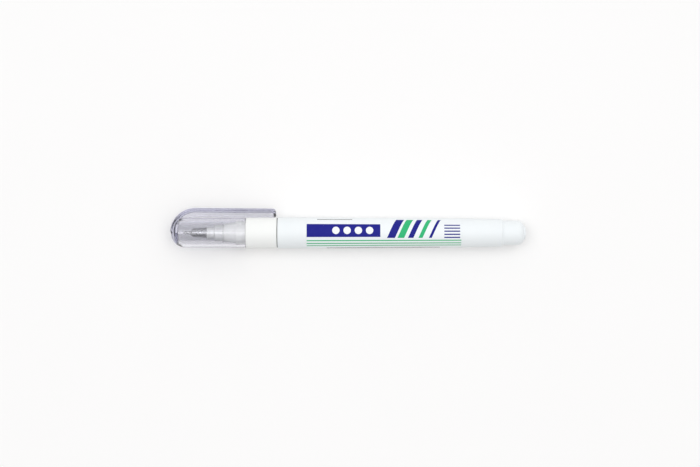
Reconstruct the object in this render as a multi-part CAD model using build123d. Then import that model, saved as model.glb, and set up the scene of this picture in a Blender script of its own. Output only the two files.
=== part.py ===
from build123d import *
import math
import os

# A slim correction pen lying on its side with the cap on, in millimetres.
# +X runs from the cap to the tail, +Y to the clip's side and +Z up.
# Pieces are drawn about the X axis with x = 0 at the collar's rear shoulder. At the end they
# are placed so that the pen rests on z = 0 with its box centred over the origin.

# Fits and clearances
PRESS_GAP = 0.02            # pieces pushed or glued together
CAP_GAP = 0.06              # cap on its neck
CAP_SEAT_GAP = 0.05         # cap's mouth to the collar's shoulder
TUBE_GAP = 0.36             # cap's inner tube round the tip holder's flange
PLUNGER_GAP = 0.08          # plunger in the valve chamber
NEEDLE_GAP = 0.08           # needle in the orifice
SPRING_END_GAP = 0.05       # spring to the faces that it pushes on
STOPPER_GAP = 0.1           # needle's end to the stopper
STOPPER_SIDE_GAP = 0.04     # stopper in the cap's inner tube
BALL_GAP = 0.15             # ball to the reservoir's wall, where that is narrowest

# Barrel
BARREL_DIAMETER = 12.2
BARREL_WALL = 0.8           # thin enough to squeeze
BARREL_END_WALL = 1.4
BARREL_FRONT_LENGTH = 11.3  # plain front, from the mouth to the label
BARREL_REAR_LENGTH = 15.7   # from the label to the step
LABEL_DROP = 0.4            # radius lost along the label
REAR_DROP = 0.3             # radius lost from the label to the step
STEP_LENGTH = 1.0           # sloped step down to the tail
TAIL_LENGTH = 5.2           # plain tail, where the cap can be posted
TAIL_SHOULDER_LENGTH = 2.7
TAIL_SHOULDER_DROP = 1.8    # radius lost over the tail's rounded shoulder
NUB_INSET = 0.4             # nub's side inside the shoulder's end
NUB_LENGTH = 0.5
NUB_CROWN = 0.5             # height of the domed end
MOUTH_CHAMFER = 0.15

# Label
LABEL_LENGTH = 61.0
LABEL_THICKNESS = 0.08
LABEL_END_GAP = 0.05        # label to the ends of its shallow recess
LABEL_OVERLAP_GAP = 10.0    # degrees left bare on the underside, where its edges meet

# Gasket in the seam
GASKET_THICKNESS = 0.3
GASKET_SETBACK = 0.3        # below the barrel's surface

# Collar
COLLAR_SETBACK = 0.1        # collar's surface below the barrel's
COLLAR_LENGTH = 12.2
COLLAR_EDGE_ROUND = 0.3
SPIGOT_LENGTH = 8.5         # collar's sleeve in the barrel
SPIGOT_WALL = 1.1
SPIGOT_CHAMFER = 0.4
NECK_STEP = 1.2             # neck's surface below the collar's
NECK_LENGTH = 3.8
NECK_GROOVE_COUNT = 2
NECK_GROOVE_PITCH = 1.5
NECK_GROOVE_WIDTH = 0.5
NECK_GROOVE_DEPTH = 0.3
NECK_GROOVE_PLACE = 0.8     # first groove, from the neck's front edge
CONE_STEP = 0.55            # cone's rear edge below the neck
CONE_LENGTH = 4.7
CONE_FRONT_LIP = 0.1        # cone's front edge beyond the tip holder's flange
HOLDER_SEAT_LENGTH = 5.2    # length of the bore that grips the tip holder

# Tip holder
CHAMBER_DIAMETER = 3.4      # bore that the plunger slides in
HOLDER_WALL = 1.15
HOLDER_FLANGE_LIP = 0.35
HOLDER_FLANGE_LENGTH = 3.8
HOLDER_FLANGE_CHAMFER = 0.3
HOLDER_SEAM_WIDTH = 0.4     # open seam between the flange and the cone
HOLDER_SEAM_LIP = 0.1       # collar round the shank that stays at the seam's bottom
HOLDER_SHANK_LENGTH = 12.0  # behind the flange
SOCKET_DIAMETER = 2.7       # bore that grips the metal tip
SOCKET_FLOOR = 0.5          # chamber's front wall, in front of the flange's front face
BOSS_WALL = 0.9
BOSS_LENGTH = 3.1
BOSS_EDGE_ROUND = 0.2
RETAINER_SEAT_STEP = 0.3    # counterbore for the retainer, wider than the chamber
RETAINER_SEAT_DEPTH = 2.3

# Metal tip
TIP_LENGTH = 8.6            # length that shows
TIP_RIM = 0.15              # holder's rim round the tip's base
TIP_BASE_LENGTH = 0.7
TIP_STEP = 0.1              # step from the base to the tapered body
TIP_NOSE_DIAMETER = 3.4     # body's front end
TIP_NOSE_LENGTH = 0.9       # cone from the body down to the pipe
TIP_PIPE_DIAMETER = 1.2     # narrow pipe at the front
TIP_PIPE_LENGTH = 2.1
TIP_PIPE_ROUND = 0.15
TIP_FLOW_DIAMETER = 1.1     # passage round the needle, behind the seat
SEAT_LENGTH = 0.3           # cone behind the pipe's orifice

# Needle and plunger
NEEDLE_DIAMETER = 0.56
NEEDLE_PROTRUSION = 0.4     # also its travel, until it is flush with the tip
NEEDLE_SHANK_DIAMETER = 0.84
NEEDLE_POINT_ROUND = 0.12
NEEDLE_GRIP = 3.0           # length held in the plunger
PLUNGER_LENGTH = 5.0
PLUNGER_FRONT_GAP = 0.5     # plunger to the chamber's front wall
PLUNGER_STEM_DIAMETER = 1.5
PLUNGER_STEM_LENGTH = 4.0
FLUTE_COUNT = 4
FLUTE_WIDTH = 0.8
FLUTE_DEPTH = 0.5

# Spring and its retainer
SPRING_WIRE = 0.28
SPRING_STEM_GAP = 0.25      # spring's inside round the plunger's stem
SPRING_TURNS = 10
RETAINER_THICKNESS = 1.6
RETAINER_HOLE_DIAMETER = 1.2
NOTCH_COUNT = 4
NOTCH_WIDTH = 0.7
NOTCH_DEPTH = 0.45

# Cap
CAP_WALL = 0.99             # at the mouth
CAP_BORE_STEP = 0.1         # from the mouth's bore to the rest of the bore
CAP_MOUTH_ROUND = 0.2
CAP_NOSE_WALL = 2.3         # nose to the stopper
CAP_RING_FLOOR = 3.2        # nose to the end of the ring-shaped space round the inner tube
MOUTH_BORE_EXTRA = 0.3      # mouth's bore, deeper than the neck
TUBE_WALL = 0.4             # thin inner tube
TUBE_END_GAP = 0.5          # inner tube's end to the collar's cone
TUBE_FLOOR_RISE = 0.9       # height of the inner tube's domed floor

# Clip, in one piece with the cap
CLIP_WIDTH = 5.6
CLIP_GAP = 1.5              # clip's free end to the collar
CLIP_LEAN = 0.3             # how much further out its root is
CLIP_THICKNESS = 1.9
CLIP_ROOT_LENGTH = 3.0      # nose to the end of the gap under the clip
CLIP_OVERHANG = 11.8        # free arm, past the cap's mouth
CLIP_EDGE_ROUND = 0.6
CLIP_HEEL_ROUND = 0.5
CLIP_CORNER_ROUND = 2.0     # corners of its free end, seen from outside
CLIP_TONGUE_ROUND = 2.0     # where its front end sinks into the nose

# Stopper in the cap
STOPPER_LENGTH = 2.8
STOPPER_BASE_LENGTH = 0.3   # beside its domed front
STOPPER_BASE_STEP = 1.2     # from the base to the flared end
STOPPER_END_DIAMETER = 1.4
STOPPER_DIMPLE_DIAMETER = 0.8
STOPPER_DIMPLE_DEPTH = 0.4
STOPPER_SEAT_GAP = 0.05

# Mixing ball
BALL_DIAMETER = 5.0
BALL_REST = 1.0             # from the step's front edge, towards the mouth

# Radii worked out from the sizes above
barrel_r = BARREL_DIAMETER / 2
bore_r = barrel_r - BARREL_WALL
label_end_r = barrel_r - LABEL_DROP
step_r = label_end_r - REAR_DROP
collar_r = barrel_r - COLLAR_SETBACK
neck_r = collar_r - NECK_STEP
tail_r = neck_r
chamber_r = CHAMBER_DIAMETER / 2
holder_shank_r = chamber_r + HOLDER_WALL
flange_r = holder_shank_r + HOLDER_FLANGE_LIP
socket_r = SOCKET_DIAMETER / 2
boss_r = socket_r + BOSS_WALL
retainer_seat_r = chamber_r + RETAINER_SEAT_STEP
needle_r = NEEDLE_DIAMETER / 2
needle_shank_r = NEEDLE_SHANK_DIAMETER / 2
stem_r = PLUNGER_STEM_DIAMETER / 2
mouth_bore_r = neck_r + CAP_GAP
cap_r = mouth_bore_r + CAP_WALL
cap_bore_r = mouth_bore_r - CAP_BORE_STEP
tube_r = flange_r + TUBE_GAP
tube_outer_r = tube_r + TUBE_WALL
clip_inner_r = collar_r + CLIP_GAP + CLIP_LEAN
clip_outer_r = clip_inner_r + CLIP_THICKNESS
ball_r = BALL_DIAMETER / 2

# Places along the pen, towards the cap
collar_front = -COLLAR_LENGTH
neck_front = collar_front - NECK_LENGTH
cone_front = neck_front - CONE_LENGTH
flange_front = cone_front - HOLDER_FLANGE_LENGTH
boss_front = flange_front - BOSS_LENGTH
tip_front = boss_front - TIP_LENGTH
needle_front = tip_front - NEEDLE_PROTRUSION
stopper_end = needle_front - STOPPER_GAP
tube_floor = stopper_end - STOPPER_LENGTH - STOPPER_SEAT_GAP
nose = tube_floor - CAP_NOSE_WALL
cap_mouth = collar_front - CAP_SEAT_GAP
clip_end = cap_mouth + CLIP_OVERHANG

# Places inside the tip holder
chamber_front = flange_front + SOCKET_FLOOR
plunger_front = chamber_front + PLUNGER_FRONT_GAP
plunger_rear = plunger_front + PLUNGER_LENGTH
holder_rear = cone_front + HOLDER_SHANK_LENGTH
retainer_front = holder_rear - RETAINER_SEAT_DEPTH

# Places along the pen, towards the tail
barrel_mouth = GASKET_THICKNESS
label_front = barrel_mouth + BARREL_FRONT_LENGTH
label_rear = label_front + LABEL_LENGTH
step_front = label_rear + BARREL_REAR_LENGTH
tail_front = step_front + STEP_LENGTH
tail_rear = tail_front + TAIL_LENGTH
shoulder_rear = tail_rear + TAIL_SHOULDER_LENGTH
tail_end = shoulder_rear + NUB_LENGTH + NUB_CROWN


def turned(*edges):
    """Solid turned about the X axis from a closed outline of (x, radius) edges."""
    return revolve(make_face(edges), Axis.X)


def turned_points(*points):
    """Solid turned about the X axis from a closed outline with straight sides."""
    return turned(Polyline(*points, close=True))


def slots(count, width, inner, outer, front, rear):
    """Straight slots round the X axis, from an inner to an outer radius."""
    middle = ((front + rear) / 2, (inner + outer) / 2, 0)
    bar = Pos(*middle) * Box(rear - front, outer - inner, width)
    return [Rot(X=360 * turn / count) * bar for turn in range(count)]


def barrel_wall_r(x):
    """Barrel's outer radius at a place along the label, before the recess is cut."""
    return barrel_r - LABEL_DROP * (x - label_front) / LABEL_LENGTH


def make_barrel():
    """Squeezable reservoir with a tapered outside, a stepped tail and a recess for the label."""
    shoulder_r = tail_r - TAIL_SHOULDER_DROP
    nub_r = shoulder_r - NUB_INSET
    nub_rear = shoulder_rear + NUB_LENGTH
    side = Polyline(
        (barrel_mouth, 0),
        (barrel_mouth, barrel_r - MOUTH_CHAMFER),
        (barrel_mouth + MOUTH_CHAMFER, barrel_r),
        (label_front, barrel_r),
        (label_rear, label_end_r),
        (step_front, step_r),
        (tail_front, tail_r),
        (tail_rear, tail_r),
    )
    shoulder = TangentArc((tail_rear, tail_r), (shoulder_rear, shoulder_r), tangent=(1, 0))
    nub = Polyline((shoulder_rear, shoulder_r), (shoulder_rear, nub_r), (nub_rear, nub_r))
    crown = TangentArc((tail_end, 0), (nub_rear, nub_r), tangent=(0, 1))
    axis_line = Line((tail_end, 0), (barrel_mouth, 0))
    outside = turned(side, shoulder, nub, crown, axis_line)

    tail_bore_r = tail_r - BARREL_WALL
    cavity_end = shoulder_rear - BARREL_END_WALL
    cavity = turned_points(
        (barrel_mouth, 0),
        (barrel_mouth, bore_r),
        (label_front, bore_r),
        (label_rear, label_end_r - BARREL_WALL),
        (step_front, step_r - BARREL_WALL),
        (tail_front, tail_bore_r),
        (tail_rear, tail_bore_r),
        (cavity_end, tail_bore_r - TAIL_SHOULDER_DROP),
        (cavity_end, 0),
    )
    return outside - cavity - label_band(LABEL_THICKNESS + PRESS_GAP, 0)


def label_band(depth, inset):
    """Band along the label's length, from the barrel's surface down to a depth."""
    front = label_front + inset
    rear = label_rear - inset
    front_r = barrel_wall_r(front)
    rear_r = barrel_wall_r(rear)
    return turned_points((front, front_r - depth), (rear, rear_r - depth), (rear, rear_r), (front, front_r))


def make_label():
    """Printed film wrapped round the barrel, with its two edges apart on the underside."""
    half_gap = math.radians(LABEL_OVERLAP_GAP / 2)
    reach = BARREL_DIAMETER
    gap = make_face(Polyline((0, 0), (reach * math.sin(half_gap), -reach),
                             (-reach * math.sin(half_gap), -reach), close=True))
    wedge = Pos(label_front, 0, 0) * extrude(Plane.YZ * gap, LABEL_LENGTH)
    return label_band(LABEL_THICKNESS, LABEL_END_GAP) - wedge


def make_gasket():
    """Flat ring between the collar's shoulder and the barrel's mouth."""
    inner = bore_r + PRESS_GAP
    outer = barrel_r - GASKET_SETBACK
    return turned_points((0, inner), (GASKET_THICKNESS, inner), (GASKET_THICKNESS, outer), (0, outer))


def make_collar():
    """White collar: cone, neck for the cap, exposed ring and a sleeve inside the barrel."""
    spigot_r = bore_r - PRESS_GAP
    cone_front_r = flange_r + CONE_FRONT_LIP
    corner = (collar_front + COLLAR_EDGE_ROUND, collar_r)
    outside = turned(
        Polyline(
            (cone_front, 0),
            (cone_front, cone_front_r),
            (neck_front, neck_r - CONE_STEP),
            (neck_front, neck_r),
            (collar_front, neck_r),
            (collar_front, collar_r - COLLAR_EDGE_ROUND),
        ),
        TangentArc((collar_front, collar_r - COLLAR_EDGE_ROUND), corner, tangent=(0, 1)),
        Polyline(
            corner,
            (-MOUTH_CHAMFER, collar_r),
            (0, collar_r - MOUTH_CHAMFER),
            (0, spigot_r),
            (SPIGOT_LENGTH - SPIGOT_CHAMFER, spigot_r),
            (SPIGOT_LENGTH, spigot_r - SPIGOT_CHAMFER),
            (SPIGOT_LENGTH, 0),
            (cone_front, 0),
        ),
    )
    seat_r = holder_shank_r + PRESS_GAP
    seat_rear = cone_front + HOLDER_SEAT_LENGTH
    neck_bore_r = (holder_shank_r + neck_r) / 2
    sleeve_bore_r = spigot_r - SPIGOT_WALL
    inside = turned_points(
        (cone_front, 0),
        (cone_front, seat_r),
        (seat_rear, seat_r),
        (seat_rear, neck_bore_r),
        (collar_front + SPIGOT_WALL, neck_bore_r),
        (collar_front + SPIGOT_WALL, sleeve_bore_r),
        (SPIGOT_LENGTH, sleeve_bore_r),
        (SPIGOT_LENGTH, 0),
    )
    return outside - inside - neck_grooves()


def neck_grooves():
    """Rings cut into the neck, where the cap's bore grips it."""
    groove_r = neck_r - NECK_GROOVE_DEPTH
    rings = []
    for index in range(NECK_GROOVE_COUNT):
        front = neck_front + NECK_GROOVE_PLACE + index * NECK_GROOVE_PITCH
        rear = front + NECK_GROOVE_WIDTH
        rings.append(turned_points((front, groove_r), (rear, groove_r), (rear, neck_r), (front, neck_r)))
    return rings


def make_tip_holder():
    """White holder: boss with a socket for the tip, flange on the cone, and the valve's chamber."""
    edge = BOSS_EDGE_ROUND
    seam_front = cone_front - HOLDER_SEAM_WIDTH
    seam_r = holder_shank_r + HOLDER_SEAM_LIP
    outside = turned(
        Line((boss_front, 0), (boss_front, boss_r - edge)),
        TangentArc((boss_front, boss_r - edge), (boss_front + edge, boss_r), tangent=(0, 1)),
        Polyline(
            (boss_front + edge, boss_r),
            (flange_front, boss_r),
            (flange_front, flange_r - HOLDER_FLANGE_CHAMFER),
            (flange_front + HOLDER_FLANGE_CHAMFER, flange_r),
            (seam_front, flange_r),
            (seam_front, seam_r),
            (cone_front, seam_r),
            (cone_front, holder_shank_r),
            (holder_rear, holder_shank_r),
            (holder_rear, 0),
            (boss_front, 0),
        ),
    )
    inside = turned_points(
        (boss_front, 0),
        (boss_front, socket_r),
        (chamber_front, socket_r),
        (chamber_front, chamber_r),
        (retainer_front, chamber_r),
        (retainer_front, retainer_seat_r),
        (holder_rear, retainer_seat_r),
        (holder_rear, 0),
    )
    return outside - inside


def make_metal_tip():
    """Turned metal point with a shank in the holder, a passage and a seat behind its orifice."""
    base_r = boss_r - TIP_RIM
    pipe_r = TIP_PIPE_DIAMETER / 2
    pipe_rear = tip_front + TIP_PIPE_LENGTH
    body_rear = boss_front - TIP_BASE_LENGTH
    shank_r = socket_r - PRESS_GAP
    edge = TIP_PIPE_ROUND
    outside = turned(
        Line((tip_front, 0), (tip_front, pipe_r - edge)),
        TangentArc((tip_front, pipe_r - edge), (tip_front + edge, pipe_r), tangent=(0, 1)),
        Polyline(
            (tip_front + edge, pipe_r),
            (pipe_rear, pipe_r),
            (pipe_rear + TIP_NOSE_LENGTH, TIP_NOSE_DIAMETER / 2),
            (body_rear, base_r - TIP_STEP),
            (body_rear, base_r),
            (boss_front, base_r),
            (boss_front, shank_r),
            (chamber_front, shank_r),
            (chamber_front, 0),
            (tip_front, 0),
        ),
    )
    orifice_r = needle_r + NEEDLE_GAP
    flow_r = TIP_FLOW_DIAMETER / 2
    passage = turned_points(
        (tip_front, 0),
        (tip_front, orifice_r),
        (pipe_rear, orifice_r),
        (pipe_rear + SEAT_LENGTH, flow_r),
        (chamber_front, flow_r),
        (chamber_front, 0),
    )
    return outside - passage


def make_needle():
    """Steel pin with a rounded point and a shoulder that closes the orifice from behind."""
    shoulder_front = tip_front + TIP_PIPE_LENGTH
    rear = plunger_front + NEEDLE_GRIP
    point = NEEDLE_POINT_ROUND
    return turned(
        Line((needle_front, 0), (needle_front, needle_r - point)),
        TangentArc((needle_front, needle_r - point), (needle_front + point, needle_r), tangent=(0, 1)),
        Polyline(
            (needle_front + point, needle_r),
            (shoulder_front, needle_r),
            (shoulder_front + SEAT_LENGTH, needle_shank_r),
            (rear, needle_shank_r),
            (rear, 0),
            (needle_front, 0),
        ),
    )


def make_plunger():
    """Fluted slider that holds the needle and carries the spring on its stem."""
    plunger_r = chamber_r - PLUNGER_GAP
    grip_r = needle_shank_r + PRESS_GAP
    grip_rear = plunger_front + NEEDLE_GRIP
    stem_rear = plunger_rear + PLUNGER_STEM_LENGTH
    body = turned_points(
        (plunger_front, grip_r),
        (plunger_front, plunger_r),
        (plunger_rear, plunger_r),
        (plunger_rear, stem_r),
        (stem_rear, stem_r),
        (stem_rear, 0),
        (grip_rear, 0),
        (grip_rear, grip_r),
    )
    flute_floor = plunger_r - FLUTE_DEPTH
    return body - slots(FLUTE_COUNT, FLUTE_WIDTH, flute_floor, chamber_r, plunger_front, plunger_rear)


def helix_point(turn, start, pitch, radius):
    """Point on the spring's centre line after a number of turns, and its direction there."""
    angle = 2 * math.pi * turn
    point = Vector(start + pitch * turn, radius * math.cos(angle), radius * math.sin(angle))
    rise = pitch / (2 * math.pi)
    direction = Vector(rise, -radius * math.sin(angle), radius * math.cos(angle))
    return point, direction.normalized()


def biarc(first, second):
    """Two arcs that join one point and direction to another without a corner."""
    (p1, t1), (p2, t2) = first, second
    span = p2 - p1
    both = t1 + t2
    a = 2 * (1 - t1.dot(t2))
    b = 2 * span.dot(both)
    reach = (-b + math.sqrt(b * b + 4 * a * span.dot(span))) / (2 * a)
    p1_tip = p1 + t1 * reach
    p2_tip = p2 - t2 * reach
    middle = (p1_tip + p2_tip) / 2
    return [
        TangentArc(p1, middle, tangent=t1),
        TangentArc(middle, p2, tangent=p2_tip - p1_tip),
    ]


def make_spring():
    """Coil spring, one unbroken wire between the plunger and the retainer."""
    wire_r = SPRING_WIRE / 2
    radius = stem_r + SPRING_STEM_GAP + wire_r
    start = plunger_rear + SPRING_END_GAP + wire_r
    length = retainer_front - SPRING_END_GAP - wire_r - start
    pitch = length / SPRING_TURNS
    print(f"needle_spring: gap between turns {pitch - SPRING_WIRE:.3f} mm")
    quarters = [helix_point(step / 4, start, pitch, radius) for step in range(4 * SPRING_TURNS + 1)]
    arcs = [arc for pair in zip(quarters, quarters[1:]) for arc in biarc(*pair)]
    first_point, first_direction = quarters[0]
    section = Plane(origin=first_point, z_dir=first_direction) * Circle(wire_r)
    return sweep(section, path=Wire(arcs))


def make_retainer():
    """Disc behind the spring, with a middle hole and rim notches for the fluid."""
    rim_r = retainer_seat_r - PRESS_GAP
    rear = retainer_front + RETAINER_THICKNESS
    hole_r = RETAINER_HOLE_DIAMETER / 2
    disc = turned_points((retainer_front, hole_r), (rear, hole_r), (rear, rim_r), (retainer_front, rim_r))
    notch_floor = rim_r - NOTCH_DEPTH
    return disc - slots(NOTCH_COUNT, NOTCH_WIDTH, notch_floor, retainer_seat_r, retainer_front, rear)


def make_cap():
    """Clear cap with a round nose, an inner sealing tube and a clip along one side."""
    shell = turned(
        CenterArc((nose + cap_r, 0), cap_r, 90, 90),
        Line((nose + cap_r, cap_r), (cap_mouth - CAP_MOUTH_ROUND, cap_r)),
        TangentArc((cap_mouth - CAP_MOUTH_ROUND, cap_r), (cap_mouth, cap_r - CAP_MOUTH_ROUND),
                   tangent=(1, 0)),
        Polyline((cap_mouth, cap_r - CAP_MOUTH_ROUND), (cap_mouth, 0), (nose, 0)),
    )
    mouth_bore_front = neck_front - MOUTH_BORE_EXTRA
    tube_end = cone_front - TUBE_END_GAP
    ring_front = nose + CAP_RING_FLOOR + (cap_bore_r - tube_outer_r) / 2
    floor_edge = (tube_floor + TUBE_FLOOR_RISE, tube_r)
    cavity = turned(
        Line((cap_mouth, 0), (tube_floor, 0)),
        TangentArc((tube_floor, 0), floor_edge, tangent=(0, 1)),
        Polyline(
            floor_edge,
            (tube_end, tube_r),
            (tube_end, tube_outer_r),
            (ring_front, tube_outer_r),
        ),
        TangentArc((ring_front, tube_outer_r), (ring_front, cap_bore_r), tangent=(-1, 0)),
        Polyline(
            (ring_front, cap_bore_r),
            (mouth_bore_front, cap_bore_r),
            (mouth_bore_front, mouth_bore_r),
            (cap_mouth, mouth_bore_r),
            (cap_mouth, 0),
        ),
    )
    return shell + make_clip() - cavity


def make_clip():
    """Bar that grows out of the nose, and runs free along the cap's side and past its mouth."""
    end_inner_r = clip_inner_r - CLIP_LEAN
    end_outer_r = clip_outer_r - CLIP_LEAN
    end_height = CLIP_THICKNESS - CLIP_HEEL_ROUND
    back_start = (nose + clip_outer_r, clip_outer_r)
    back_end = (clip_end - end_height, end_outer_r)
    back = (back_end[0] - back_start[0], -CLIP_LEAN)
    heel_top = (clip_end, end_inner_r + CLIP_HEEL_ROUND)
    heel_end = (clip_end - CLIP_HEEL_ROUND, end_inner_r)
    bend = (back_start[0], 0)
    root_turn = math.degrees(math.asin((clip_outer_r - CLIP_ROOT_LENGTH) / clip_inner_r))
    inner_bend = CenterArc(bend, clip_inner_r, 90, root_turn)
    root = inner_bend @ 1
    tongue_end = (nose + CLIP_TONGUE_ROUND, -CLIP_TONGUE_ROUND)
    side = make_face([
        CenterArc(bend, clip_outer_r, 90, 90),
        Line(back_start, back_end),
        TangentArc(back_end, heel_top, tangent=back),
        TangentArc(heel_top, heel_end, tangent=(0, -1)),
        Line(heel_end, inner_bend @ 0),
        inner_bend,
        Polyline(root, (root.X, -CLIP_TONGUE_ROUND), tongue_end),
        TangentArc((nose, 0), tongue_end, tangent=(0, -1)),
    ])
    bar = extrude(side, CLIP_WIDTH / 2, both=True)
    rims = [edge for edge in bar.edges() if edge.bounding_box().size.Z < CLIP_EDGE_ROUND]
    outer_rims = [edge for edge in rims if edge.bounding_box().max.Y > clip_inner_r + CLIP_THICKNESS / 2]
    rounded = fillet(outer_rims, CLIP_EDGE_ROUND)
    plan_front = nose - CLIP_CORNER_ROUND
    plan = RectangleRounded(clip_end - plan_front, CLIP_WIDTH, CLIP_CORNER_ROUND)
    return rounded & Pos((plan_front + clip_end) / 2, 0, 0) * extrude(Plane.XZ * plan, clip_outer_r, both=True)


def make_stopper():
    """Soft plug in the end of the cap's inner tube, drawn out to a dimple over the needle."""
    base_r = tube_r - STOPPER_SIDE_GAP
    front = tube_floor + STOPPER_SEAT_GAP
    front_edge = (front + TUBE_FLOOR_RISE, base_r)
    base_end = front_edge[0] + STOPPER_BASE_LENGTH
    end_r = STOPPER_END_DIAMETER / 2
    dimple_r = STOPPER_DIMPLE_DIAMETER / 2
    dimple_floor = stopper_end - STOPPER_DIMPLE_DEPTH
    flare_start = (base_end, base_r - STOPPER_BASE_STEP)
    return turned(
        TangentArc((front, 0), front_edge, tangent=(0, 1)),
        Polyline(front_edge, (base_end, base_r), flare_start),
        TangentArc((stopper_end, end_r), flare_start, tangent=(-1, 0)),
        Polyline(
            (stopper_end, end_r),
            (stopper_end, dimple_r),
            (dimple_floor, dimple_r),
            (dimple_floor, 0),
            (front, 0),
        ),
    )


def make_ball():
    """Loose steel ball, low in the reservoir and clear of its narrowest end."""
    drop = step_r - BARREL_WALL - ball_r - BALL_GAP
    return Pos(step_front - BALL_REST, 0, -drop) * Sphere(ball_r)


# The pen rolls until the clip's lower edge is on the table, level with the barrel's underside
edge_out = clip_outer_r - CLIP_EDGE_ROUND
edge_across = CLIP_WIDTH / 2 - CLIP_EDGE_ROUND
edge_reach = math.hypot(edge_out, edge_across)
clip_tilt = math.asin((barrel_r - CLIP_EDGE_ROUND) / edge_reach) - math.atan2(edge_across, edge_out)
clip_reach = edge_out * math.cos(clip_tilt) + edge_across * math.sin(clip_tilt) + CLIP_EDGE_ROUND

cap_roll = Rot(X=-math.degrees(clip_tilt))
place = Pos(-(nose + tail_end) / 2, -(clip_reach - barrel_r) / 2, barrel_r)

pieces = {
    "cap_shell": cap_roll * make_cap(),
    "tip_stopper": make_stopper(),
    "front_collar": make_collar(),
    "mouth_gasket": make_gasket(),
    "tip_holder": make_tip_holder(),
    "metal_tip": make_metal_tip(),
    "valve_needle": make_needle(),
    "valve_plunger": make_plunger(),
    "needle_spring": make_spring(),
    "spring_retainer": make_retainer(),
    "barrel": make_barrel(),
    "label": make_label(),
    "mixing_ball": make_ball(),
}

os.makedirs("parts", exist_ok=True)
for name, piece in pieces.items():
    export_step(place * piece, f"parts/{name}.step")
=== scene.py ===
import math

import bmesh
import bpy
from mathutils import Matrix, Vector


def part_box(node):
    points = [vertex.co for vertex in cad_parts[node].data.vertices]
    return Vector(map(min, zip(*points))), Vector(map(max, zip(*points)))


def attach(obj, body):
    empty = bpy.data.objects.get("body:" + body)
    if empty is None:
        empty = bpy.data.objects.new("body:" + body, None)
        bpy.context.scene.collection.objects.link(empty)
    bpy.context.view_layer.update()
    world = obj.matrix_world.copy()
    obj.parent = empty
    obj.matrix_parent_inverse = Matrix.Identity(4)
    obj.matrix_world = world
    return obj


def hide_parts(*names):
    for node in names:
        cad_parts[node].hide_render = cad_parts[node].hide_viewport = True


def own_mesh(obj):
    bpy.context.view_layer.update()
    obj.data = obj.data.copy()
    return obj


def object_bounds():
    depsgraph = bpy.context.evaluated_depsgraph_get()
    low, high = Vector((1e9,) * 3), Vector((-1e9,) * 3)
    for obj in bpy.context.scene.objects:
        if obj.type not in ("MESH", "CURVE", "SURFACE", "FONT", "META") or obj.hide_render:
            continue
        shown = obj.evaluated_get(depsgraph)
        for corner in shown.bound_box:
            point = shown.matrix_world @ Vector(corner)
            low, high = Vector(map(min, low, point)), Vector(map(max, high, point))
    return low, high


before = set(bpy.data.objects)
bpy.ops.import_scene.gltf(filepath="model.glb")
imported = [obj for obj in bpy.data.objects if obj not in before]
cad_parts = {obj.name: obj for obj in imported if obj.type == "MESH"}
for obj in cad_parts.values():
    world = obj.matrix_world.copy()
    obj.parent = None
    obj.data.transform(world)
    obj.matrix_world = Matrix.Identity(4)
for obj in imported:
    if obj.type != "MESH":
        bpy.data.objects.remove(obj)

bl_info = {
    "name": "Correction Pen Dress",
    "version": (1, 0, 0),
    "blender": (4, 5, 0),
    "location": "View3D > Sidebar > Pen",
    "description": "Plastics, metals and label print of a capped correction pen, and its stage",
    "category": "Object",
}

MM = 0.001
CAD_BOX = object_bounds()

# Places that come from the frame
barrel_low, barrel_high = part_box("barrel")
label_low, label_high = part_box("label")
AXIS_Y = (barrel_low.y + barrel_high.y) / 2
AXIS_Z = (barrel_low.z + barrel_high.z) / 2
LABEL_FRONT = label_low.x
LABEL_REAR = label_high.x
FLOOR_Z = CAD_BOX[0].z


def outer_radius(node, x, reach=0.1 * MM):
    """Largest distance from the pen's axis among a node's points that lie within reach of x."""
    points = [v.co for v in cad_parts[node].data.vertices if abs(v.co.x - x) <= reach]
    return max(math.hypot(p.y - AXIS_Y, p.z - AXIS_Z) for p in points)


FILM_FRONT_R = outer_radius("label", LABEL_FRONT)
FILM_REAR_R = outer_radius("label", LABEL_REAR)
FILM_MIDDLE_R = (FILM_FRONT_R + FILM_REAR_R) / 2


def film_radius(x):
    """Radius of the label's tapered surface at a place along the pen."""
    return FILM_FRONT_R + (FILM_REAR_R - FILM_FRONT_R) * (x - LABEL_FRONT) / (LABEL_REAR - LABEL_FRONT)


# Settings that a user would change

def linear(code):
    """Linear RGBA of an sRGB hex colour."""
    shares = [int(code[i:i + 2], 16) / 255 for i in (0, 2, 4)]
    return [s / 12.92 if s <= 0.04045 else ((s + 0.055) / 1.055) ** 2.4 for s in shares] + [1.0]


def colour(name, description, code):
    """Property that holds a colour."""
    return bpy.props.FloatVectorProperty(
        name=name, description=description, subtype="COLOR", size=4, min=0, max=1, default=linear(code))


def length(name, description, millimetres):
    """Property that holds a length."""
    return bpy.props.FloatProperty(
        name=name, description=description, subtype="DISTANCE", unit="LENGTH", default=millimetres * MM)


def angle(name, description, degrees):
    """Property that holds an angle."""
    turn = math.radians(degrees)
    return bpy.props.FloatProperty(
        name=name, description=description, subtype="ANGLE", unit="ROTATION", default=turn)


def count(name, description, number):
    """Property that holds how many copies a pattern has."""
    return bpy.props.IntProperty(name=name, description=description, default=number, min=0)


def power(name, description, watts):
    """Property that holds a lamp's power."""
    return bpy.props.FloatProperty(name=name, description=description, unit="POWER", default=watts)


def level(name, description, share):
    """Property that holds a level between nothing and full."""
    return bpy.props.FloatProperty(
        name=name, description=description, subtype="FACTOR", min=0, max=1, default=share)


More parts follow.
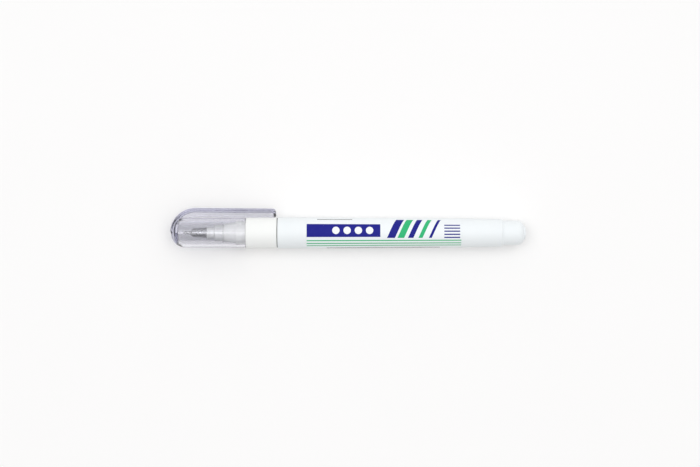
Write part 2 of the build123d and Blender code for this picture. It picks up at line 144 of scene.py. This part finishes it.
class PenColours(bpy.types.PropertyGroup):
    barrel: colour("Barrel", "Cool white of the squeeze barrel", "F3F7F8")
    barrel_shade: colour("Barrel shade", "Tone of the melt's flow in the barrel", "EFF3F5")
    collar: colour("Collar", "White of the front collar", "F8F9F7")
    collar_shade: colour("Collar shade", "Tone of the melt's flow in the collar", "F4F5F3")
    # Painted shade: the tip holder's two tones are dimmed below the other whites for the light the cap over
    # it holds back
    holder: colour("Tip holder", "Natural white of the tip holder", "EAEBE9")
    holder_shade: colour("Tip holder shade", "Tone of the melt's flow in the tip holder", "E3E4E2")
    film: colour("Label film", "White of the printed film", "F4F8F9")
    film_shade: colour("Label film shade", "Faint tone where the film lies over the barrel", "F0F4F6")
    navy: colour("Navy ink", "Main ink of the label", "181B88")
    green: colour("Green ink", "Second ink of the label", "33B878")
    black: colour("Black ink", "Fine rules of the label", "2B2B2E")
    white: colour("White ink", "Discs on the navy bar", "F5F7F8")
    cap_tint: colour("Cap tint", "Light that a thick piece of the cap's plastic lets through", "8C8CC8")
    cap_density: bpy.props.FloatProperty(
        name="Cap density", description="Strength of the cap's tint, for each metre of plastic", default=70.0)
    plunger: colour("Plunger", "Plunger and spring retainer", "E6E4DA")
    stopper: colour("Stopper", "Soft seal in the cap's nose", "DCDAE2")
    # Painted shade: the gasket's dark tone also stands for the shade in the seam between collar and barrel
    gasket: colour("Gasket", "Dark ring between collar and barrel", "4A4A4E")
    # Painted shade: the point's grey is darker than nickel silver, for the dim reflections it shows inside
    # the cap
    tip: colour("Tip", "Turned metal point", "9A9A9E")
    steel: colour("Steel", "Needle, spring and mixing ball", "A9AAAD")
    floor: colour("Floor", "Pale sheet under the pen", "FAF9F8")


class LabelPrint(bpy.types.PropertyGroup):
    ink_height: length("Ink height", "Height of the printed ink over the film", 0.015)
    edge: length("Edge", "Bare film at the ends of the print", 0.15)
    bar_length: length("Bar length", "Navy bar at the label's front", 29.0)
    bar_low: angle("Bar low edge", "Lower edge of the navy bar, from the top of the pen", -15.9)
    bar_high: angle("Bar high edge", "Upper edge of the navy bar, from the top of the pen", 34.5)
    disc_count: count("Discs", "White discs on the bar", 4)
    disc_diameter: length("Disc diameter", "White discs on the bar", 2.9)
    disc_pitch: length("Disc pitch", "Distance between the white discs", 4.4)
    disc_place: length("Disc place", "First disc's middle, from the label's front", 11.6)
    line_count: count("Lines", "Long green lines", 3)
    line_width: length("Line width", "Long green lines", 0.45)
    line_first: angle("First line", "Long green line next to the bar", -30.4)
    line_step: angle("Line step", "From one long green line to the next", -13.0)
    tick_count: count("Ticks", "Short navy lines", 5)
    tick_width: length("Tick width", "Short navy lines near the label's rear", 0.5)
    tick_length: length("Tick length", "Short navy lines near the label's rear", 6.2)
    tick_first: angle("First tick", "Topmost short navy line", 30.9)
    tick_step: angle("Tick step", "From one short navy line to the next", -12.27)
    tick_end: length("Tick end", "Short lines' rear end, from the label's rear", 0.65)
    stripe_count: count("Stripes", "Slanted stripes", 5)
    stripe_place: length("Stripe place", "First stripe's foot, from the label's front", 31.6)
    stripe_pitch: length("Stripe pitch", "From one slanted stripe to the next", 4.1)
    stripe_width: length("Stripe width", "First slanted stripe", 3.1)
    stripe_loss: length("Stripe loss", "Width that each further stripe loses", 0.5)
    stripe_slant: angle("Stripe slant", "Lean of the stripes towards the tail", 24.0)
    stripe_low: angle("Stripe low edge", "Foot of the stripes, from the top of the pen", -20.0)
    stripe_high: angle("Stripe high edge", "Head of the stripes, from the top of the pen", 60.0)
    rule_width: length("Rule width", "Fine dark rules", 0.3)
    head_rule_place: length("Head rule place", "Upper dark rule, from the label's front", 4.2)
    head_rule_length: length("Head rule length", "Upper dark rule", 13.8)
    head_rule: angle("Head rule", "Upper dark rule, from the top of the pen", 60.0)
    foot_rule_count: count("Foot rules", "Lower dark rules", 2)
    foot_rule_place: length("Foot rule place", "Lower dark rules, from the label's front", 8.0)
    foot_rule_length: length("Foot rule length", "Lower dark rules", 44.5)
    foot_rule_first: angle("First foot rule", "First lower dark rule, from the top of the pen", -76.0)
    foot_rule_step: angle("Foot rule step", "From one lower dark rule to the next", -8.0)


class PenStage(bpy.types.PropertyGroup):
    camera_x: length("Camera x", "Camera's place along the pen", 0.6)
    camera_y: length("Camera y", "Camera's place across the pen", -2.15)
    camera_height: length("Camera height", "Camera over the floor", 772.8)
    focal: bpy.props.FloatProperty(
        name="Focal length", description="Lens, in millimetres", unit="CAMERA", default=100.0)
    floor_size: length("Floor size", "Side of the pale floor", 6000.0)
    key_distance: length("Key distance", "Lamps to the pen", 1000.0)
    key_lean: angle("Key lean", "Soft box's lean from straight above, towards the clip's side", 8.0)
    key_width: length("Key width", "Lamps along the pen", 1500.0)
    key_depth: length("Key depth", "Soft box across the pen", 900.0)
    key_power: power("Key power", "Soft box's light", 4.4)
    strip_depth: length("Strip depth", "Narrow lamp straight above, across the pen", 90.0)
    strip_power: power("Strip power", "Narrow lamp's light", 0.8)
    room_bright: level("Bright side", "Room's light on its bright side", 0.84)
    room_dim: level("Dim side", "Room's light opposite its bright side", 0.08)
    room_lean: angle("Bright side's lean", "From straight above, towards the clip's side", 27.0)
    bent_share: level("Bent light", "Share that counts of the light that the cap's walls bend", 0.4)


# Nodes, meshes and objects

def add_node(tree, kind, settings=None, values=None, links=None):
    """Adds a node with its settings and input values, and links its inputs to other nodes' outputs."""
    node = tree.nodes.new(kind)
    for key, value in (settings or {}).items():
        setattr(node, key, value)
    for key, value in (values or {}).items():
        node.inputs[key].default_value = value
    for key, (source, output) in (links or {}).items():
        tree.links.new(source.outputs[output], node.inputs[key])
    return node


def new_mesh(name, bm, material):
    """Mesh of one material from a bmesh, which is then freed."""
    mesh = bpy.data.meshes.new(name)
    bm.to_mesh(mesh)
    bm.free()
    mesh.materials.append(material)
    return mesh


def add_object(name, data):
    """Adds an object to the scene."""
    thing = bpy.data.objects.new(name, data)
    bpy.context.scene.collection.objects.link(thing)
    return thing


# Materials

# Length of one band of the wave texture at a scale of 1
WAVE_PERIOD = math.pi / 10


def new_material(name):
    """Empty material, its node tree and its Object coordinates."""
    material = bpy.data.materials.new(name)
    material.use_nodes = True
    tree = material.node_tree
    tree.nodes.clear()
    return material, tree, add_node(tree, "ShaderNodeTexCoord")


def per_metre(millimetres):
    """Texture scale for a pattern of a real size."""
    return 1 / (millimetres * MM)


def dimmed(tone, share):
    """Colour with a share of another's light."""
    return [share * c for c in tone[:3]] + [1.0]


def grained(name, tones, rough, cloud_mm, grain_mm, grain_depth_mm, surface):
    """Material with clouds of two tones, and a fine grain that drives its roughness and bump."""
    material, tree, place = new_material(name)
    clouds = add_node(tree, "ShaderNodeTexNoise", values={"Scale": per_metre(cloud_mm), "Detail": 2.0},
                      links={"Vector": (place, "Object")})
    tone = add_node(tree, "ShaderNodeMix", {"data_type": "RGBA"}, {6: tones[0], 7: tones[1]},
                    {0: (clouds, "Fac")})
    grain = add_node(tree, "ShaderNodeTexNoise", values={"Scale": per_metre(grain_mm), "Detail": 3.0},
                     links={"Vector": (place, "Object")})
    gloss = add_node(tree, "ShaderNodeMapRange", values={"To Min": rough[0], "To Max": rough[1]},
                     links={"Value": (grain, "Fac")})
    bump = add_node(tree, "ShaderNodeBump", values={"Strength": 1.0, "Distance": grain_depth_mm * MM},
                    links={"Height": (grain, "Fac")})
    shader = add_node(tree, "ShaderNodeBsdfPrincipled", values=surface,
                      links={"Base Color": (tone, 2), "Roughness": (gloss, "Result"),
                             "Normal": (bump, "Normal")})
    add_node(tree, "ShaderNodeOutputMaterial", links={"Surface": (shader, "BSDF")})
    return material


def moulded_polyethylene(colours):
    """Squeeze barrel: blow-moulded polyethylene, a soft waxy gloss with faint clouds and a fine grain."""
    return grained("moulded_polyethylene", (colours.barrel, colours.barrel_shade), rough=(0.4, 0.5),
                   cloud_mm=9.0, grain_mm=0.35, grain_depth_mm=0.0015, surface={"IOR": 1.51})


def moulded_polypropylene(colours):
    """Collar: injection-moulded polypropylene, smoother than the barrel and slightly warmer."""
    return grained("moulded_polypropylene", (colours.collar, colours.collar_shade), rough=(0.38, 0.48),
                   cloud_mm=7.0, grain_mm=0.3, grain_depth_mm=0.0012, surface={"IOR": 1.49})


def natural_polypropylene_and_cap_shade(colours):
    """Tip holder: unpigmented polypropylene, milky and a little glossy, dimmed to paint the cap's shade on
    it.
    """
    return grained("natural_polypropylene_and_cap_shade", (colours.holder, colours.holder_shade), rough=(0.45, 0.55),
                   cloud_mm=4.0, grain_mm=0.25, grain_depth_mm=0.0012, surface={"IOR": 1.49})


def moulded_acetal(colours):
    """Plunger and retainer: moulded acetal, dense, ivory and slick."""
    return grained("moulded_acetal", (colours.plunger, dimmed(colours.plunger, 0.9)), rough=(0.3, 0.42),
                   cloud_mm=2.0, grain_mm=0.15, grain_depth_mm=0.001, surface={"IOR": 1.48})


def soft_elastomer(colours):
    """Cap's seal: moulded thermoplastic rubber, dull and slightly mottled."""
    return grained("soft_elastomer", (colours.stopper, dimmed(colours.stopper, 0.88)), rough=(0.5, 0.65),
                   cloud_mm=1.5, grain_mm=0.12, grain_depth_mm=0.003, surface={"IOR": 1.5})


def nitrile_rubber_and_seam_shade(colours):
    """Gasket: die-cut nitrile sheet, dark and matt, its dark tone also painting the shade of the seam."""
    return grained("nitrile_rubber_and_seam_shade", (colours.gasket, dimmed(colours.gasket, 0.75)), rough=(0.6, 0.8),
                   cloud_mm=1.0, grain_mm=0.1, grain_depth_mm=0.004, surface={"IOR": 1.52})


def label_film(colours):
    """Label: calendered film with a clear varnish, slightly smoother than the barrel that it wraps."""
    return grained("varnished_label_film", (colours.film, colours.film_shade), rough=(0.38, 0.48),
                   cloud_mm=12.0, grain_mm=0.5, grain_depth_mm=0.001, surface={"IOR": 1.5})


def screen_ink(name, ink):
    """Label print: a screened ink film under varnish, with a slightly uneven lay of the ink."""
    film_shows = 0.012
    thin = [c + film_shows * (1 - c) for c in ink[:3]] + [1.0]
    return grained(name, (ink, thin), rough=(0.42, 0.52), cloud_mm=1.6, grain_mm=0.22,
                   grain_depth_mm=0.001, surface={"IOR": 1.5, "Specular IOR Level": 0.15})


def paper_sweep(colours):
    """Floor: a matt white paper sheet with a barely visible tooth."""
    return grained("matt_paper_sweep", (colours.floor, dimmed(colours.floor, 0.99)), rough=(0.8, 0.9),
                   cloud_mm=60.0, grain_mm=0.6, grain_depth_mm=0.002, surface={"Specular IOR Level": 0.1})


def clear_polystyrene(colours):
    """Cap: clear moulded polystyrene with a lavender tint, glossy, with a moulded wall's slight ripple."""
    ripple_mm = 5.0
    ripple_depth_mm = 0.003
    scuff_mm = 0.8
    material, tree, place = new_material("clear_polystyrene")
    ripple = add_node(tree, "ShaderNodeTexNoise", values={"Scale": per_metre(ripple_mm), "Detail": 1.0},
                      links={"Vector": (place, "Object")})
    scuff = add_node(tree, "ShaderNodeTexNoise", values={"Scale": per_metre(scuff_mm), "Detail": 4.0},
                     links={"Vector": (place, "Object")})
    gloss = add_node(tree, "ShaderNodeMapRange",
                     values={"From Min": 0.35, "From Max": 0.8, "To Min": 0.02, "To Max": 0.07},
                     links={"Value": (scuff, "Fac")})
    bump = add_node(tree, "ShaderNodeBump", values={"Strength": 1.0, "Distance": ripple_depth_mm * MM},
                    links={"Height": (ripple, "Fac")})
    shader = add_node(tree, "ShaderNodeBsdfPrincipled",
                      values={"Base Color": (1.0, 1.0, 1.0, 1.0), "IOR": 1.57, "Transmission Weight": 1.0},
                      links={"Roughness": (gloss, "Result"), "Normal": (bump, "Normal")})
    # Lamps shine straight through the walls, so that what the cap covers is lit
    path = add_node(tree, "ShaderNodeLightPath")
    passed = add_node(tree, "ShaderNodeBsdfTransparent")
    wall = add_node(tree, "ShaderNodeMixShader",
                    links={0: (path, "Is Shadow Ray"), 1: (shader, "BSDF"), 2: (passed, "BSDF")})
    tint = add_node(tree, "ShaderNodeVolumeAbsorption",
                    values={"Color": colours.cap_tint, "Density": colours.cap_density})
    add_node(tree, "ShaderNodeOutputMaterial",
             links={"Surface": (wall, "Shader"), "Volume": (tint, "Volume")})
    return material


def machined_metal(name, metal, rough, ring_mm, ring_depth_mm):
    """Metal with rings round the pen's axis that a lathe, grinder or die leaves, and a mottled polish."""
    mottle_mm = 0.6
    material, tree, place = new_material(name)
    rings = add_node(tree, "ShaderNodeTexWave", {"bands_direction": "X"},
                     {"Scale": WAVE_PERIOD * per_metre(ring_mm), "Distortion": 1.5, "Detail": 2.0},
                     {"Vector": (place, "Object")})
    polish = add_node(tree, "ShaderNodeTexNoise", values={"Scale": per_metre(mottle_mm), "Detail": 3.0},
                      links={"Vector": (place, "Object")})
    tone = add_node(tree, "ShaderNodeMix", {"data_type": "RGBA"}, {6: metal, 7: dimmed(metal, 0.86)},
                    {0: (polish, "Fac")})
    gloss = add_node(tree, "ShaderNodeMapRange", values={"To Min": rough[0], "To Max": rough[1]},
                     links={"Value": (polish, "Fac")})
    bump = add_node(tree, "ShaderNodeBump", values={"Strength": 1.0, "Distance": ring_depth_mm * MM},
                    links={"Height": (rings, "Fac")})
    shader = add_node(tree, "ShaderNodeBsdfPrincipled", values={"Metallic": 1.0},
                      links={"Base Color": (tone, 2), "Roughness": (gloss, "Result"),
                             "Normal": (bump, "Normal")})
    add_node(tree, "ShaderNodeOutputMaterial", links={"Surface": (shader, "BSDF")})
    return material


def turned_nickel_silver_and_cap_shade(colours):
    """Point: turned nickel silver, its grey darkened to paint the dim reflections inside the cap, with lathe
    rings drawn about three times too coarse so that they show.
    """
    return machined_metal("turned_nickel_silver_and_cap_shade", colours.tip, rough=(0.22, 0.32), ring_mm=0.22,
                          ring_depth_mm=0.002)


def ground_steel(colours):
    """Needle: centreless-ground stainless steel, with fine rings."""
    return machined_metal("ground_stainless_steel", colours.steel, rough=(0.14, 0.24), ring_mm=0.12,
                          ring_depth_mm=0.001)


def drawn_wire(colours):
    """Spring: drawn stainless wire, slightly dull from the die."""
    return machined_metal("drawn_stainless_wire", colours.steel, rough=(0.25, 0.38), ring_mm=0.1,
                          ring_depth_mm=0.001)


def polished_steel(colours):
    """Mixing ball: lapped bearing steel, near mirror bright."""
    return machined_metal("lapped_bearing_steel", colours.steel, rough=(0.08, 0.14), ring_mm=0.3,
                          ring_depth_mm=0.0004)


def dress(node, material):
    """Gives a frame node its material."""
    for material_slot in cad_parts[node].material_slots:
        material_slot.material = material


# Spring

WELD_DISTANCE = 0.001 * MM
SHARP_EDGE = math.radians(30.0)


def welded_copy(stiff):
    """Copy of a frame mesh whose loose triangles are joined, with its sharp edges marked anew."""
    mesh = stiff.copy()
    mesh.attributes.remove(mesh.attributes["custom_normal"])
    bm = bmesh.new()
    bm.from_mesh(mesh)
    bmesh.ops.remove_doubles(bm, verts=bm.verts, dist=WELD_DISTANCE)
    bm.to_mesh(mesh)
    bm.free()
    mesh.set_sharp_from_angle(angle=SHARP_EDGE)
    return mesh


def short_spring():
    """Puts a welded copy of the frame's spring in the place of the frame's stiff one."""
    spring = add_object("valve_spring", welded_copy(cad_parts["needle_spring"].data))
    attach(spring, "pen_body")
    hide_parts("needle_spring")
    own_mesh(spring)


# Label print

# How finely the flat patches are split so that they bend with the film
FACET = math.radians(3.0)
SLANT_FACES = 4
DISC_SIDES = 40
DISC_RINGS = 5


def add_patch(bm, front, rear, low, high, slant=0.0):
    """Flat patch of ink from front to rear along the pen and low to high round it, leaning by slant."""
    around = max(1, math.ceil((high - low) / FACET))
    across = 1 if slant == 0.0 else SLANT_FACES
    made = bmesh.ops.create_grid(bm, x_segments=across, y_segments=around, size=0.5)
    bmesh.ops.scale(bm, verts=made["verts"], vec=(rear - front, FILM_MIDDLE_R * (high - low), 1))
    bmesh.ops.translate(bm, verts=made["verts"],
                        vec=((front + rear) / 2, FILM_MIDDLE_R * (low + high) / 2, 0))
    for vert in made["verts"]:
        vert.co.x += math.tan(slant) * (vert.co.y - FILM_MIDDLE_R * low)


def add_line(bm, front, rear, around, width):
    """Line of ink along the pen, at a turn round it."""
    half = width / 2 / FILM_MIDDLE_R
    add_patch(bm, front, rear, around - half, around + half)


def add_disc(bm, x, around, diameter):
    """Flat round patch of ink with rings of faces."""
    made = bmesh.ops.create_circle(bm, cap_ends=True, segments=DISC_SIDES, radius=diameter / 2)
    bmesh.ops.translate(bm, verts=made["verts"], vec=(x, FILM_MIDDLE_R * around, 0))
    middle = made["verts"][0].link_faces[0]
    ring_width = diameter / 2 / DISC_RINGS
    for _ in range(DISC_RINGS - 1):
        bmesh.ops.inset_individual(bm, faces=[middle], thickness=ring_width, use_even_offset=True)


def bar_and_ticks(navy, art):
    """Solid bar at the label's front, and short lines near its rear."""
    add_patch(navy, LABEL_FRONT + art.edge, LABEL_FRONT + art.bar_length, art.bar_low, art.bar_high)
    rear = LABEL_REAR - art.tick_end
    for k in range(art.tick_count):
        around = art.tick_first + k * art.tick_step
        add_line(navy, rear - art.tick_length, rear, around, art.tick_width)


def long_lines(green, art):
    """Lines along the whole label, beside the bar."""
    for k in range(art.line_count):
        around = art.line_first + k * art.line_step
        add_line(green, LABEL_FRONT + art.edge, LABEL_REAR - art.edge, around, art.line_width)


def slanted_stripes(inks, art):
    """Stripes that lean towards the tail and grow thinner, in the inks by turns."""
    for k in range(art.stripe_count):
        foot = LABEL_FRONT + art.stripe_place + k * art.stripe_pitch
        width = art.stripe_width - k * art.stripe_loss
        add_patch(inks[k % len(inks)], foot, foot + width, art.stripe_low, art.stripe_high, art.stripe_slant)


def bar_discs(white, art):
    """Row of discs along the middle of the bar."""
    for k in range(art.disc_count):
        add_disc(white, LABEL_FRONT + art.disc_place + k * art.disc_pitch,
                 (art.bar_low + art.bar_high) / 2, art.disc_diameter)


def dark_rules(black, art):
    """Fine rule above the bar, and further ones far down the other side."""
    head = LABEL_FRONT + art.head_rule_place
    add_line(black, head, head + art.head_rule_length, art.head_rule, art.rule_width)
    foot = LABEL_FRONT + art.foot_rule_place
    for k in range(art.foot_rule_count):
        around = art.foot_rule_first + k * art.foot_rule_step
        add_line(black, foot, foot + art.foot_rule_length, around, art.rule_width)


def wrap_ink(bm, base, height):
    """Thickens the flat patches and bends them round the label."""
    flat = bmesh.ops.extrude_face_region(bm, geom=bm.faces[:], use_keep_orig=True)
    top = [g for g in flat["geom"] if isinstance(g, bmesh.types.BMVert)]
    bmesh.ops.translate(bm, verts=top, vec=(0, 0, height))
    for vert in bm.verts:
        radius = film_radius(vert.co.x) + base + vert.co.z
        turn = vert.co.y / FILM_MIDDLE_R
        vert.co = (vert.co.x, AXIS_Y + radius * math.sin(turn), AXIS_Z + radius * math.cos(turn))
    bmesh.ops.recalc_face_normals(bm, faces=bm.faces)


def ink_piece(name, bm, base, height, material):
    """Makes the patches in bm a piece of the pen's body."""
    wrap_ink(bm, base, height)
    piece = add_object(name, new_mesh(name, bm, material))
    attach(piece, "pen_body")


# Groups of pieces

class PEN_OT_clear_cap(bpy.types.Operator):
    """Gives the cap its clear plastic, and its seal a soft rubber"""
    bl_idname = "pen.clear_cap"
    bl_label = "Clear Cap"

    def execute(self, context):
        colours = context.scene.pen_colours
        dress("cap_shell", clear_polystyrene(colours))
        dress("tip_stopper", soft_elastomer(colours))
        return {"FINISHED"}


class PEN_OT_white_mouldings(bpy.types.Operator):
    """Gives the barrel, collar, tip holder and gasket their finishes"""
    bl_idname = "pen.white_mouldings"
    bl_label = "White Mouldings"

    def execute(self, context):
        colours = context.scene.pen_colours
        dress("barrel", moulded_polyethylene(colours))
        dress("front_collar", moulded_polypropylene(colours))
        dress("tip_holder", natural_polypropylene_and_cap_shade(colours))
        dress("mouth_gasket", nitrile_rubber_and_seam_shade(colours))
        return {"FINISHED"}


class PEN_OT_point_and_valve(bpy.types.Operator):
    """Gives the metal point, the valve inside it and the mixing ball their finishes"""
    bl_idname = "pen.point_and_valve"
    bl_label = "Point and Valve"

    def execute(self, context):
        colours = context.scene.pen_colours
        dress("metal_tip", turned_nickel_silver_and_cap_shade(colours))
        dress("valve_needle", ground_steel(colours))
        dress("needle_spring", drawn_wire(colours))
        short_spring()
        dress("mixing_ball", polished_steel(colours))
        acetal = moulded_acetal(colours)
        dress("valve_plunger", acetal)
        dress("spring_retainer", acetal)
        return {"FINISHED"}


class PEN_OT_label_print(bpy.types.Operator):
    """Gives the label its film and lays the inks on it"""
    bl_idname = "pen.label_print"
    bl_label = "Label Print"

    def execute(self, context):
        colours = context.scene.pen_colours
        art = context.scene.pen_print
        dress("label", label_film(colours))
        navy, green, white, black = (bmesh.new() for _ in range(4))
        bar_and_ticks(navy, art)
        long_lines(green, art)
        slanted_stripes((navy, green), art)
        bar_discs(white, art)
        dark_rules(black, art)
        # The white discs lie on the navy bar, the other inks on the film
        height = art.ink_height
        ink_piece("print_navy", navy, 0.0, height, screen_ink("screen_ink_navy", colours.navy))
        ink_piece("print_green", green, 0.0, height, screen_ink("screen_ink_green", colours.green))
        ink_piece("print_white", white, height, height, screen_ink("screen_ink_white", colours.white))
        ink_piece("print_black", black, 0.0, height, screen_ink("screen_ink_black", colours.black))
        return {"FINISHED"}


# Stage

# Linear tone of the room's light, a barely cool white
ROOM_TONE = (0.985, 0.99, 1.0, 1.0)


def pale_floor(stage, colours):
    """Lays a wide sheet under the pen."""
    bm = bmesh.new()
    bmesh.ops.create_grid(bm, x_segments=1, y_segments=1, size=stage.floor_size / 2)
    bmesh.ops.translate(bm, verts=bm.verts, vec=(0, 0, FLOOR_Z))
    floor = add_object("floor", new_mesh("floor", bm, paper_sweep(colours)))


def room_light(stage):
    """World that is bright on one side and dim on the other."""
    world = bpy.data.worlds.new("room")
    bpy.context.scene.world = world
    world.use_nodes = True
    tree = world.node_tree
    tree.nodes.clear()
    place = add_node(tree, "ShaderNodeTexCoord")
    bright_side = (0.0, math.sin(stage.room_lean), math.cos(stage.room_lean))
    facing = add_node(tree, "ShaderNodeVectorMath", {"operation": "DOT_PRODUCT"}, {1: bright_side},
                      {0: (place, "Generated")})
    glow = add_node(tree, "ShaderNodeMapRange",
                    values={"From Min": -1.0, "To Min": stage.room_dim, "To Max": stage.room_bright},
                    links={"Value": (facing, "Value")})
    # Shadow rays bring the room's light straight through the cap already, so what its walls bend
    # on to the pieces inside counts by a share
    ray = add_node(tree, "ShaderNodeLightPath")
    bent = add_node(tree, "ShaderNodeMath", {"operation": "MULTIPLY"},
                    links={0: (ray, "Diffuse Depth"), 1: (ray, "Is Transmission Ray")})
    share = add_node(tree, "ShaderNodeMapRange", values={"To Min": 1.0, "To Max": stage.bent_share},
                     links={"Value": (bent, 0)})
    strength = add_node(tree, "ShaderNodeMath", {"operation": "MULTIPLY"},
                        links={0: (glow, "Result"), 1: (share, "Result")})
    room = add_node(tree, "ShaderNodeBackground", values={"Color": ROOM_TONE},
                    links={"Strength": (strength, 0)})
    add_node(tree, "ShaderNodeOutputWorld", links={"Surface": (room, "Background")})


def area_lamp(name, stage, lean, depth, watts):
    """Long lamp that faces the pen from above, leaning towards the clip's side."""
    lamp = bpy.data.lights.new(name, "AREA")
    lamp.shape = "RECTANGLE"
    lamp.size = stage.key_width
    lamp.size_y = depth
    lamp.energy = watts
    hung = add_object(name, lamp)
    hung.location = stage.key_distance * Vector((0, math.sin(lean), math.cos(lean)))
    hung.rotation_euler = (-lean, 0, 0)
    return hung


def top_camera(stage):
    """Camera that looks straight down."""
    lens = bpy.data.cameras.new("camera")
    lens.lens = stage.focal
    camera = add_object("camera", lens)
    camera.location = (stage.camera_x, stage.camera_y, stage.camera_height)
    bpy.context.scene.camera = camera


class PEN_OT_stage(bpy.types.Operator):
    """Lays the pale floor and sets the lamps, the room's light and the camera"""
    bl_idname = "pen.stage"
    bl_label = "Stage"

    def execute(self, context):
        stage = context.scene.pen_stage
        context.scene.view_settings.view_transform = "Standard"
        pale_floor(stage, context.scene.pen_colours)
        room_light(stage)
        # The soft box lights the pen and the strip alone gleams on it
        soft_box = area_lamp("soft_box", stage, stage.key_lean, stage.key_depth, stage.key_power)
        soft_box.visible_glossy = False
        area_lamp("strip", stage, 0.0, stage.strip_depth, stage.strip_power)
        top_camera(stage)
        return {"FINISHED"}


# Add-on

OPERATORS = (
    PEN_OT_clear_cap,
    PEN_OT_white_mouldings,
    PEN_OT_point_and_valve,
    PEN_OT_label_print,
    PEN_OT_stage,
)


class PEN_PT_sidebar(bpy.types.Panel):
    """Lists the pen's groups of pieces"""
    bl_idname = "PEN_PT_sidebar"
    bl_label = "Correction Pen"
    bl_space_type = "VIEW_3D"
    bl_region_type = "UI"
    bl_category = "Pen"

    def draw(self, context):
        for operator in OPERATORS:
            self.layout.operator(operator.bl_idname)


CLASSES = (PenColours, LabelPrint, PenStage, *OPERATORS, PEN_PT_sidebar)


def register():
    for cls in CLASSES:
        bpy.utils.register_class(cls)
    bpy.types.Scene.pen_colours = bpy.props.PointerProperty(type=PenColours)
    bpy.types.Scene.pen_print = bpy.props.PointerProperty(type=LabelPrint)
    bpy.types.Scene.pen_stage = bpy.props.PointerProperty(type=PenStage)


def unregister():
    del bpy.types.Scene.pen_stage
    del bpy.types.Scene.pen_print
    del bpy.types.Scene.pen_colours
    for cls in reversed(CLASSES):
        bpy.utils.unregister_class(cls)


def main():
    register()
    bpy.ops.pen.clear_cap()
    bpy.ops.pen.white_mouldings()
    bpy.ops.pen.point_and_valve()
    bpy.ops.pen.label_print()
    bpy.ops.pen.stage()


if __name__ == "__main__":
    main()
